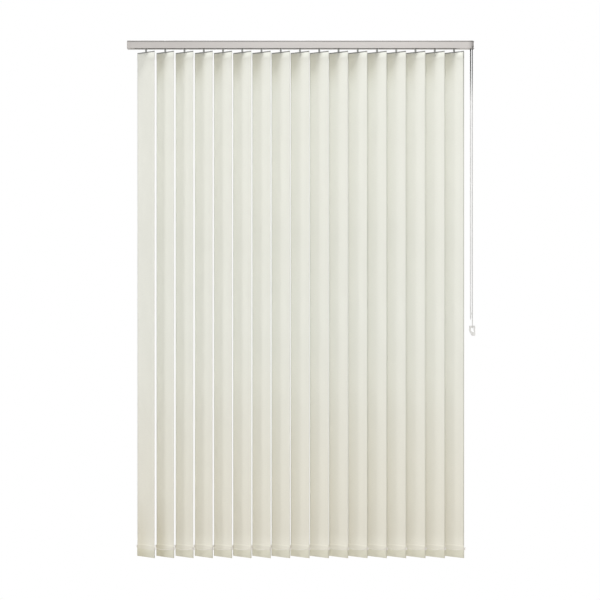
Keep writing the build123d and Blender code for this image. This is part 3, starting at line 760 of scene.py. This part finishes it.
def add_link_chain(node_name, side):
    """Swags from ear to ear, drawn together with the vanes."""
    hump = Vector((LINK_HUMP, 0, 0))
    quarter = Vector((VANE_PITCH / 4, 0, 0))
    points = []
    for vane in reversed(VANES):
        ear = ear_place(vane, side)
        swag = ear - Vector((VANE_PITCH / 2, 0, LINK_SAG))
        points += [ear + hump, ear - hump]
        if vane != VANES[0]:
            points += [swag + quarter, swag - quarter]
    line = read_route(points)
    mesh = bead_chain(f"{node_name}_beads", line, LINK_RADIUS, LINK_PITCH, LINK_WIRE)
    chain = add_piece(f"{node_name}_beads", mesh, node_name, BEAD_LOOK)
    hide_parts(node_name)
    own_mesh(chain)


# Vanes, each about its own axis with X across the vane

def top_pocket_path():
    """The cloth from the top flap's edge over the hanger and down to the seam.

    A point of the cloth's path has its place across, its level, and its shares of insert and seam; the
    insert share sets painted shade over the bottom weight and the seam share a painted highlight.
    """
    out = HANGER_THICKNESS / 2 + POCKET_EASE + CLOTH / 2
    flap = CLOTH * FLAP_SHARE
    edge = CLOTH / 2
    return [
        (flap, TOP_SEAM, 0, 0),
        (flap, TOP_SEAM + POCKET_RAMP / 2, 0, 0),
        (out, TOP_SEAM + POCKET_RAMP, 0, 0),
        (out, VANE_TOP - FOLD_RISE, 0, 0),
        (out * FOLD_WIDTH_SHARE, VANE_TOP - FOLD_RISE / 2, 0, 0),
        (0, VANE_TOP - edge, 0, 0),
        (-out * FOLD_WIDTH_SHARE, VANE_TOP - FOLD_RISE / 2, 0, 0),
        (-out, VANE_TOP - FOLD_RISE, 0, 0),
        (-out, TOP_SEAM + POCKET_RAMP, 0, 0),
        (-edge, TOP_SEAM + POCKET_RAMP / 3, 0, 0),
    ]


def drop_path():
    """The single cloth between the seams."""
    drop = BOTTOM_SEAM + SEAM_FADE - TOP_SEAM
    return [(0, TOP_SEAM + drop * (i / CLOTH_ROWS), 0, 0) for i in range(CLOTH_ROWS + 1)]


def bottom_pocket_path():
    """The cloth from the seam round the bottom weight and up to the bottom flap's edge."""
    out = WEIGHT_THICKNESS / 2 + POCKET_EASE + CLOTH / 2
    flap = CLOTH * FLAP_SHARE
    edge = CLOTH / 2
    weight_top = VANE_BOTTOM + WEIGHT_HEIGHT
    band = BOTTOM_SEAM - SEAM_BAND
    start = VANE_BOTTOM + FOLD_RISE * FOLD_START_SHARE
    turn = VANE_BOTTOM + FOLD_RISE * FOLD_TURN_SHARE
    return [
        (-SEAM_PROUD, BOTTOM_SEAM, 0, 1),
        (-edge - SEAM_PROUD, band, 0, 1),
        (-edge - SEAM_PROUD, band - SEAM_FADE, 0, 0),
        (-out, weight_top + POCKET_RAMP, 0, 0),
        (-out, weight_top - POCKET_RAMP / 3, 1, 0),
        (-out, start, 1, 0),
        (-out * FOLD_WIDTH_SHARE, turn, 1, 0),
        (0, VANE_BOTTOM + edge, 1, 0),
        (out * FOLD_WIDTH_SHARE, turn, 1, 0),
        (out, start, 1, 0),
        (out, weight_top - POCKET_RAMP / 3, 1, 0),
        (out, weight_top + POCKET_RAMP, 0, 0),
        (flap + SEAM_PROUD, band - SEAM_FADE, 0, 0),
        (flap + SEAM_PROUD, band, 0, 1),
        (flap + SEAM_PROUD, BOTTOM_SEAM, 0, 1),
    ]


def cloth_columns():
    """Places across a vane, with the edges of the hanger's slit among them."""
    half = VANE_WIDTH / 2
    even = [half * (2 * i / CLOTH_COLUMNS - 1) for i in range(CLOTH_COLUMNS + 1)]
    band = half - CLOTH_EDGE
    fade = band - CLOTH_EDGE_FADE
    extra = [-band, -fade, -SLIT_HALF, 0, SLIT_HALF, fade, band]
    return sorted([x for x in even if abs(x) > SLIT_HALF] + extra)


def edge_share(x, level, index):
    """How much painted shade darkens an edge: plainly only on the last vane's outer edge, above its bottom
    pocket.
    """
    if abs(x) < VANE_WIDTH / 2 - CLOTH_EDGE - CLOTH_EDGE_FADE / 2:
        return 0
    outer = index == len(VANES) - 1 and x > 0 and level > BOTTOM_SEAM
    return 1 if outer else FAINT_EDGE_SHARE


def left_shade_share(x, level, index):
    """How much painted shade darkens a vane's left half: high up under the next vane, and low on the first
    vanes.
    """
    high = clamped((level - VANE_TOP + SHADE_DROP) / SHADE_DROP) if index else 0
    low = clamped((VANE_BOTTOM + SHADE_RISE - level) / SHADE_RISE) if index < LOW_SHADED_VANES else 0
    left_half = clamped(1 / 2 - 2 * x / VANE_WIDTH)
    return max(high, low) * left_half


def cloth_faces(path, columns):
    """Faces between a cloth's rows and columns, open at the hanger's slit."""
    count = len(columns)
    faces = []
    for row in range(len(path) - 1):
        on_fold = max(path[row][1], path[row + 1][1]) > VANE_TOP - FOLD_RISE
        for column in range(count - 1):
            middle = (columns[column] + columns[column + 1]) / 2
            if on_fold and abs(middle) < SLIT_HALF:
                continue
            near = row * count + column
            faces.append((near, near + 1, near + count + 1, near + count))
    return faces


def cloth_mesh(index):
    """A vane's cloth with a slight bow and twist of its own."""
    path = top_pocket_path() + drop_path() + bottom_pocket_path()
    columns = cloth_columns()
    bow = CLOTH_BOW * math.cos(BOW_STEP * index + BOW_START)
    twist = math.radians(CLOTH_TWIST) * math.sin(TWIST_STEP * index)
    points = []
    shares = {"insert": [], "edge": [], "seam": [], "left_shade": []}
    for across, level, insert, seam in path:
        share = clamped((level - VANE_BOTTOM - BOTTOM_POCKET) / (VANE_LENGTH - BOTTOM_POCKET - TOP_POCKET))
        loose = math.sin(math.pi * share)
        for x in columns:
            bulge = bow * loose * (1 - (2 * x / VANE_WIDTH) ** 2)
            points.append((x, across + bulge + x * twist * loose, level))
            shares["insert"].append(insert)
            shares["edge"].append(edge_share(x, level, index))
            shares["seam"].append(seam)
            shares["left_shade"].append(left_shade_share(x, level, index))
    mesh = mesh_of(f"vane_cloth_{index + 1:02d}", points, cloth_faces(path, columns))
    mesh.set_sharp_from_angle(angle=math.radians(CLOTH_SHARP))
    for name, values in shares.items():
        attribute = mesh.attributes.new(name, "FLOAT", "POINT")
        attribute.data.foreach_set("value", values)
    return mesh


def stitching_mesh():
    """Both seams' stitches, on the front and the back."""
    ball, faces = ball_parts(1, 4, 6)
    stitch = ball * np.array([STITCH_LENGTH / 2, STITCH_RADIUS, STITCH_RADIUS])
    half = VANE_WIDTH / 2 - STITCH_PITCH
    count = round(2 * half / STITCH_PITCH)
    parts = []
    for level in (TOP_SEAM + STITCH_DROP, BOTTOM_SEAM - STITCH_DROP):
        for i in range(count + 1):
            x = -half + 2 * half * i / count
            for share in STITCH_SHARES:
                parts.append((stitch + np.array([x, CLOTH * share, level]), faces))
    return mesh_of("vane_stitching", *gathered(parts))


def half_tab(foot, nick):
    """Outline of the right half of a hanger's tab, with half of its eye cut out."""
    tab = TAB_WIDTH / 2
    rise = SHOULDER_TOP + TAB_RISE
    eye = ring(EYE_RADIUS, EYE_CORNERS, (0, SHOULDER_TOP + EYE_RISE), math.pi / EYE_CORNERS)
    right = sorted((p for p in eye if p[0] > 0), key=lambda p: -p[1])
    outside = [(0, foot), (tab, foot), (tab, rise - nick), (tab - nick, rise), (0, rise)]
    return outside + [(0, right[0][1])] + right + [(0, right[-1][1])]


def hanger_mesh():
    """Plate in the top pocket, with a tab that has an eye and a shoulder bar on top of the cloth."""
    half = VANE_WIDTH / 2 - HANGER_INSET
    thick = HANGER_THICKNESS / 2
    top = VANE_TOP - CLOTH - POCKET_EASE
    corner = HANGER_HEIGHT / 6
    low = top - HANGER_HEIGHT
    foot = top - corner
    tab = TAB_WIDTH / 2
    shape = bmesh.new()
    add_prism(shape, [
        (-half + corner, low), (half - corner, low), (half, low + corner), (half, foot),
        (half - corner, top), (tab, top), (tab, foot), (-tab, foot), (-tab, top),
        (-half + corner, top), (-half, foot), (-half, low + corner),
    ], 1, -thick, thick)
    for side in (1, -1):
        add_prism(shape, [(side * x, z) for x, z in half_tab(foot, corner / 3)], 1, -thick, thick)
    wide = VANE_WIDTH / 2 - SHOULDER_INSET
    deep = thick + POCKET_EASE + CLOTH
    add_box(shape, (-wide, wide), (-deep, deep), (SHOULDER_TOP - SHOULDER_HEIGHT, SHOULDER_TOP))
    return mesh_from_bmesh("vane_hanger", shape)


def gear_outline():
    """Square teeth round a hook's gear."""
    count = TOOTH_POINTS * GEAR_TEETH
    outline = []
    for i in range(count):
        turn = 2 * math.pi * i / count
        radius = GEAR_RADIUS if i % TOOTH_POINTS < TOOTH_POINTS / 2 else GEAR_ROOT
        outline.append((radius * math.cos(turn), radius * math.sin(turn)))
    return outline


def hook_mesh():
    """Gear, shaft and forked blade that holds the hanger's eye."""
    shape = bmesh.new()
    low = ROD_Z - GEAR_HEIGHT / 2
    add_prism(shape, gear_outline(), 2, low, low + GEAR_HEIGHT)
    blade_top = RAIL_BOTTOM - BLADE_GAP
    add_prism(shape, ring(SHAFT_RADIUS, ROUND_CORNERS), 2, blade_top, low)
    foot = SHOULDER_TOP + BLADE_FOOT
    fork = SHOULDER_TOP + TAB_RISE + BLADE_GAP
    wide = BLADE_WIDTH / 2
    neck = BLADE_NECK / 2
    thick = BLADE_THICKNESS / 2
    add_prism(shape, [(-wide, fork), (wide, fork), (wide, fork + BLADE_GAP), (neck, blade_top),
                      (-neck, blade_top), (-wide, fork + BLADE_GAP)], 1, -thick, thick)
    prong = [(-neck, foot), (neck, foot), (wide, foot + BLADE_FOOT), (wide, fork), (-wide, fork),
             (-wide, foot + BLADE_FOOT)]
    for side in (-1, 1):
        face = side * thick
        inner = side * (thick - PRONG_THICKNESS)
        add_prism(shape, prong, 1, min(face, inner), max(face, inner))
    add_prism(shape, ring(PIN_RADIUS, EYE_CORNERS, (0, SHOULDER_TOP + EYE_RISE)), 1, -thick, thick)
    return mesh_from_bmesh("vane_hook", shape)


def weight_mesh():
    """Plate in the bottom pocket, with an arm, a round clip and a seat for the chain at each end."""
    half = VANE_WIDTH / 2 - WEIGHT_INSET
    thick = WEIGHT_THICKNESS / 2
    low = VANE_BOTTOM + CLOTH + POCKET_EASE
    top = low + WEIGHT_HEIGHT
    corner = WEIGHT_INSET / 2
    thin = EAR_PLATE / 2
    tip = VANE_WIDTH / 2 + EAR_REACH - LINK_RADIUS - EAR_GAP
    clip = VANE_WIDTH / 2 + CLIP_REACH
    level = EAR_Z - LINK_RADIUS - EAR_GAP - CLIP_RADIUS
    arm = EAR_SEAT / 2
    shape = bmesh.new()
    add_prism(shape, [(-half + corner, low), (half - corner, low), (half, low + corner), (half, top),
                      (-half, top), (-half, low + corner)], 1, -thick, thick)
    for side in (-1, 1):
        inner = side * (half - EAR_ARM)
        outer = side * half
        seat = side * (tip - EAR_SEAT)
        add_box(shape, sorted((inner, outer)), (-thin, thin), (top, level + arm))
        add_box(shape, sorted((outer, side * clip)), (-thin, thin), (level - arm, level + arm))
        add_box(shape, sorted((seat, side * tip)), (-thin, thin), (level, EAR_Z + arm))
        add_prism(shape, ring(CLIP_RADIUS, ROUND_CORNERS, (side * clip, level)), 1, -thin, thin)
    return mesh_from_bmesh("vane_weight", shape)


def add_vanes():
    """All vanes, which share one stitching, hanger, hook and bottom weight."""
    stitching = stitching_mesh()
    hanger = hanger_mesh()
    hook = hook_mesh()
    weight = weight_mesh()
    turn = Matrix.Rotation(-math.radians(VANE_TURN), 4, "Z")
    for index, vane in enumerate(VANES):
        place = Matrix.Translation((AXES[vane], 0, 0)) @ turn
        cloth = add_piece(f"{vane}_cloth", cloth_mesh(index), vane, CLOTH_LOOK, place)
        layer = cloth.modifiers.new("cloth_thickness", "SOLIDIFY")
        layer.thickness = CLOTH
        layer.offset = 0
        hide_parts(vane)
        seams = add_piece(f"{vane}_stitching", stitching, vane, THREAD_LOOK, place)
        bar = add_piece(f"{vane}_hanger", hanger, vane, HANGER_LOOK, place)
        stem = add_piece(f"{vane}_hook", hook, vane, HOOK_LOOK, place)
        plate = add_piece(f"{vane}_weight", weight, vane, CLIP_LOOK, place)
        bevel(stem, PRONG_THICKNESS / 4)
        bevel(bar, HANGER_THICKNESS / 5)
        bevel(plate, EAR_PLATE / 5)


# CAD nodes that stay, with their own finishes

def finish_nodes():
    """Gives each node that stays its material and soft edges."""
    looks = {
        "headrail": (PAINT_LOOK, RAIL_EDGE),
        "return_end_cap": (CAP_LOOK, CAP_EDGE),
        "control_end_cap": (CONTROL_CAP_LOOK, CAP_EDGE),
        "bracket_left": (ZINC_LOOK, BRACKET_EDGE),
        "bracket_centre": (ZINC_LOOK, BRACKET_EDGE),
        "bracket_right": (ZINC_LOOK, BRACKET_EDGE),
        "tilt_rod": (ROD_LOOK, 0),
        "chain_sprocket": (WHITE_LOOK, SPROCKET_EDGE),
        "chain_connector": (CONTROL_LOOK, CONNECTOR_EDGE),
        "draw_cord_run": (CORD_LOOK, 0),
        "return_pulley": (WHITE_LOOK, PULLEY_EDGE),
        "cord_weight": (WEIGHT_LOOK, CORD_WEIGHT_EDGE),
    }
    looks.update({name: (CARRIER_LOOK, CARRIER_EDGE) for name in CARRIERS})
    for name, (look, edge) in looks.items():
        piece = frame["nodes"][name]
        piece.data.materials.clear()
        piece.data.materials.append(look)
        if edge:
            bevel(piece, edge)


def add_cap_pin():
    """Dark pin in the rounded front corner of the control end's cap, a dark part put where the cap shows
    the shade of its cord hole.
    """
    low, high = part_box("control_end_cap")
    turn = math.radians(PIN_TURN)
    middle = Vector((high.x - CAP_CORNER, low.y + CAP_CORNER, RAIL_BOTTOM + PIN_HEIGHT))
    place = Matrix.Translation(middle) @ Matrix.Rotation(turn, 4, "Z")
    shape = bmesh.new()
    add_prism(shape, ring(PIN_HEAD, ROUND_CORNERS), 1, -CAP_CORNER - PIN_PROUD, -CAP_CORNER + PIN_PROUD)
    mesh = mesh_from_bmesh("cap_pin", shape)
    pin = add_piece("cap_pin", mesh, "headrail", PIN_LOOK, place)
    bevel(pin, PIN_PROUD / 2, PIN_EDGE_STEPS)


# Floor, light and background

def white_to_camera(tree, lit, surface):
    """Shows one shader to the camera and in reflections, and the lit one to all other rays."""
    ray = node(tree, "ShaderNodeLightPath")
    seen = ray.outputs["Is Camera Ray"]
    for other in ("Is Glossy Ray", "Is Transmission Ray"):
        seen = combined(tree, seen, ray.outputs[other], "MAXIMUM")
    return node(tree, "ShaderNodeMixShader", {0: seen, 1: lit, 2: surface}).outputs[0]


def add_floor():
    """White floor with a faint shadow under the vanes."""
    level = VANE_BOTTOM - FLOOR_DROP
    half = FLOOR_SIZE / 2
    corners = [(-half, -half, level), (half, -half, level), (half, half, level), (-half, half, level)]
    floor = bpy.data.objects.new("floor", mesh_of("floor", corners, [(0, 1, 2, 3)], False))
    scene.collection.objects.link(floor)
    made, tree, shader = new_material("floor_white", FLOOR_COLOUR, 0.9)
    white = node(tree, "ShaderNodeEmission", Strength=1.0)
    place = node(tree, "ShaderNodeTexCoord").outputs["Object"]
    away = node(tree, "ShaderNodeVectorMath", {0: place}, operation="LENGTH").outputs["Value"]
    bare = ranged(tree, away, SHADOW_WHITE_SHARE, 1, SHADOW_REACH, SHADOW_END)
    shown = node(tree, "ShaderNodeMixShader", {0: bare, 1: shader.outputs[0], 2: white.outputs[0]})
    out = tree.nodes["Material Output"]
    tree.links.new(white_to_camera(tree, shader.outputs[0], shown.outputs[0]), out.inputs["Surface"])
    floor.data.materials.append(made)


def add_lamps():
    """Soft lamps that face the vanes' middle."""
    for name, (place, size, power) in LAMPS.items():
        data = bpy.data.lights.new(name, "AREA")
        data.size = size
        data.energy = power
        lamp = bpy.data.objects.new(name, data)
        scene.collection.objects.link(lamp)
        lamp.location = place
        aim = Vector((VANES_MIDDLE, 0, -CAMERA_DROP)) - lamp.location
        lamp.rotation_euler = aim.to_track_quat("-Z", "Y").to_euler()


def add_background():
    """White background and an even fill light."""
    world = bpy.data.worlds.new("studio")
    scene.world = world
    world.use_nodes = True
    tree = world.node_tree
    soft = tree.nodes["Background"]
    soft.inputs["Color"].default_value = WHITE
    soft.inputs["Strength"].default_value = FILL_LEVEL
    white = node(tree, "ShaderNodeBackground", Color=WHITE, Strength=1.0)
    out = tree.nodes["World Output"]
    tree.links.new(white_to_camera(tree, soft.outputs[0], white.outputs[0]), out.inputs["Surface"])


add_camera()
add_tilt_chain()
add_draw_cord()
add_link_chain("front_link_chain", 1)
add_link_chain("rear_link_chain", -1)
add_vanes()
finish_nodes()
add_cap_pin()
add_floor()
add_lamps()
add_background()
scene.view_settings.view_transform = "Standard"
